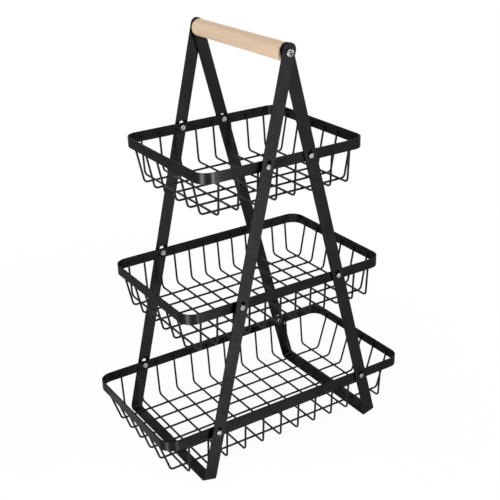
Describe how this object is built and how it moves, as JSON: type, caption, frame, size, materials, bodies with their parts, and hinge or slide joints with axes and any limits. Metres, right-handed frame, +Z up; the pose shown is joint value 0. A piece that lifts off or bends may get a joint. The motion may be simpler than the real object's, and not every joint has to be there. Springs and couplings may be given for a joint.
{
  "type": "tiered wire basket stand",
  "caption": "Folded steel strap stand with a wooden carrying grip and tiered black wire baskets that grow towards the floor and hang on studs in keyholes.",
  "frame": {"origin": "on the floor, below the middle of the stand", "axes": "+Z up, +X along the long side of the baskets, +Y along the grip towards the back"},
  "size_m": [0.396, 0.228, 0.5724],
  "materials": {
    "black_powder_coat": "satin powder coat",
    "black_wire": "satin powder coat",
    "bright_zinc": "bright zinc plate",
    "grip_wood": "clear matt lacquer"
  },
  "bodies": {
    "frame": {"outer_leg_frame": "black_powder_coat", "inner_leg_frame": "black_powder_coat"},
    "handle": {"wood_grip": "grip_wood", "handle_fasteners": "bright_zinc"},
    "top_basket": {"top_rim": "black_powder_coat", "top_studs": "bright_zinc", "top_long_wire_1": "black_wire", "top_long_wire_2": "black_wire", "top_long_wire_3": "black_wire", "top_long_wire_4": "black_wire", "top_long_wire_5": "black_wire", "top_long_wire_6": "black_wire", "top_cross_wire_1": "black_wire", "top_cross_wire_2": "black_wire", "top_cross_wire_3": "black_wire", "top_cross_wire_4": "black_wire", "top_cross_wire_5": "black_wire", "top_cross_wire_6": "black_wire", "top_cross_wire_7": "black_wire", "top_cross_wire_8": "black_wire"},
    "middle_basket": {"middle_rim": "black_powder_coat", "middle_studs": "bright_zinc", "middle_long_wire_1": "black_wire", "middle_long_wire_2": "black_wire", "middle_long_wire_3": "black_wire", "middle_long_wire_4": "black_wire", "middle_long_wire_5": "black_wire", "middle_long_wire_6": "black_wire", "middle_cross_wire_1": "black_wire", "middle_cross_wire_2": "black_wire", "middle_cross_wire_3": "black_wire", "middle_cross_wire_4": "black_wire", "middle_cross_wire_5": "black_wire", "middle_cross_wire_6": "black_wire", "middle_cross_wire_7": "black_wire", "middle_cross_wire_8": "black_wire", "middle_cross_wire_9": "black_wire", "middle_cross_wire_10": "black_wire", "middle_cross_wire_11": "black_wire", "middle_cross_wire_12": "black_wire"},
    "bottom_basket": {"bottom_rim": "black_powder_coat", "bottom_studs": "bright_zinc", "bottom_long_wire_1": "black_wire", "bottom_long_wire_2": "black_wire", "bottom_long_wire_3": "black_wire", "bottom_long_wire_4": "black_wire", "bottom_long_wire_5": "black_wire", "bottom_long_wire_6": "black_wire", "bottom_cross_wire_1": "black_wire", "bottom_cross_wire_2": "black_wire", "bottom_cross_wire_3": "black_wire", "bottom_cross_wire_4": "black_wire", "bottom_cross_wire_5": "black_wire", "bottom_cross_wire_6": "black_wire", "bottom_cross_wire_7": "black_wire", "bottom_cross_wire_8": "black_wire", "bottom_cross_wire_9": "black_wire", "bottom_cross_wire_10": "black_wire", "bottom_cross_wire_11": "black_wire", "bottom_cross_wire_12": "black_wire"}
  },
  "joints": [
    {"name": "handle_turn", "type": "hinge", "parent": "frame", "child": "handle", "pos_m": [0, 0, 0.56], "axis": [0, 1, 0], "continuous": true},
    {"name": "top_basket_lift", "type": "slide", "parent": "frame", "child": "top_basket", "axis": [0, 0, 1], "range_m": [0, 0.004]},
    {"name": "middle_basket_lift", "type": "slide", "parent": "frame", "child": "middle_basket", "axis": [0, 0, 1], "range_m": [0, 0.004]},
    {"name": "bottom_basket_lift", "type": "slide", "parent": "frame", "child": "bottom_basket", "axis": [0, 0, 1], "range_m": [0, 0.004]}
  ]
}
